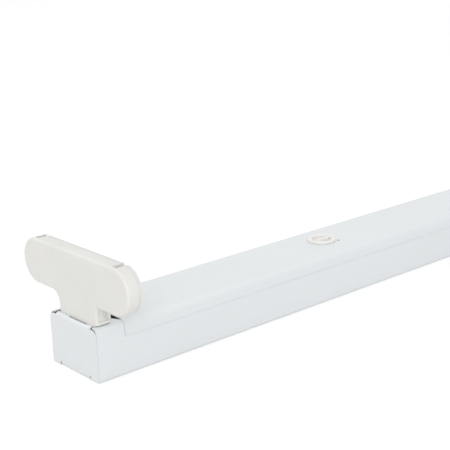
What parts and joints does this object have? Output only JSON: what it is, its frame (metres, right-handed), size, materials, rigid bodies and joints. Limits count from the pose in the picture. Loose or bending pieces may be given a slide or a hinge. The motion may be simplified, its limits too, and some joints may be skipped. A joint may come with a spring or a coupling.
{
  "type": "led tube batten fitting",
  "caption": "Twin-lamp batten fitting for LED tubes: folded white steel channel and cover with a cream double lampholder standing up from each end.",
  "frame": {"origin": "middle of the flat mounting back, halfway along the batten and halfway across it", "axes": "+X along the batten away from the end that the picture shows, +Y across it, +Z from the mounting back towards the tubes"},
  "size_m": [0.6142, 0.09, 0.0611],
  "materials": {
    "white_steel": "smooth white powder coat",
    "holder_plastic": "moulded cream plastic",
    "rotor_plastic": "moulded cream plastic",
    "knob_plastic": "moulded cream plastic, slightly glossy",
    "terminal_plastic": "natural nylon",
    "plain_steel": "zinc plated",
    "contact_brass": "plain",
    "wire_blue": "insulated wire",
    "wire_brown": "insulated wire",
    "wire_green": "insulated wire",
    "grommet_rubber": "black rubber"
  },
  "bodies": {
    "batten": {"base_channel": "white_steel", "cover": "white_steel", "left_holder_shell": "holder_plastic", "left_holder_back": "holder_plastic", "left_outer_contact": "contact_brass", "left_inner_contact": "contact_brass", "left_lock_bridge": "plain_steel", "right_holder_shell": "holder_plastic", "right_holder_back": "holder_plastic", "right_outer_contact": "contact_brass", "right_inner_contact": "contact_brass", "right_lock_bridge": "plain_steel", "terminal_body": "terminal_plastic", "terminal_inserts": "contact_brass", "terminal_clamp_screws": "plain_steel", "terminal_fixing_screw": "plain_steel", "earth_bush": "contact_brass", "earth_tag": "contact_brass", "earth_washer": "plain_steel", "earth_screw": "plain_steel", "neutral_wire": "wire_blue", "live_wire": "wire_brown", "earth_wire": "wire_green", "wire_clips": "knob_plastic", "cable_grommet": "grommet_rubber"},
    "left_near_socket": {"left_near_rotor": "rotor_plastic"},
    "left_far_socket": {"left_far_rotor": "rotor_plastic"},
    "right_near_socket": {"right_near_rotor": "rotor_plastic"},
    "right_far_socket": {"right_far_rotor": "rotor_plastic"},
    "left_lock": {"left_cover_knob": "knob_plastic"},
    "right_lock": {"right_cover_knob": "knob_plastic"}
  },
  "joints": [
    {"name": "left_near_turn", "type": "hinge", "parent": "batten", "child": "left_near_socket", "pos_m": [-0.298, -0.03315, 0.0492], "axis": [1, 0, 0], "range_deg": [0, 90]},
    {"name": "left_far_turn", "type": "hinge", "parent": "batten", "child": "left_far_socket", "pos_m": [-0.298, 0.03315, 0.0492], "axis": [1, 0, 0], "range_deg": [0, 90]},
    {"name": "right_near_turn", "type": "hinge", "parent": "batten", "child": "right_near_socket", "pos_m": [0.298, -0.03315, 0.0492], "axis": [1, 0, 0], "range_deg": [0, 90]},
    {"name": "right_far_turn", "type": "hinge", "parent": "batten", "child": "right_far_socket", "pos_m": [0.298, 0.03315, 0.0492], "axis": [1, 0, 0], "range_deg": [0, 90]},
    {"name": "left_lock_turn", "type": "hinge", "parent": "batten", "child": "left_lock", "pos_m": [-0.1351, 0, 0.028], "axis": [0, 0, 1], "range_deg": [0, 90]},
    {"name": "right_lock_turn", "type": "hinge", "parent": "batten", "child": "right_lock", "pos_m": [0.1351, 0, 0.028], "axis": [0, 0, 1], "range_deg": [0, 90]}
  ]
}
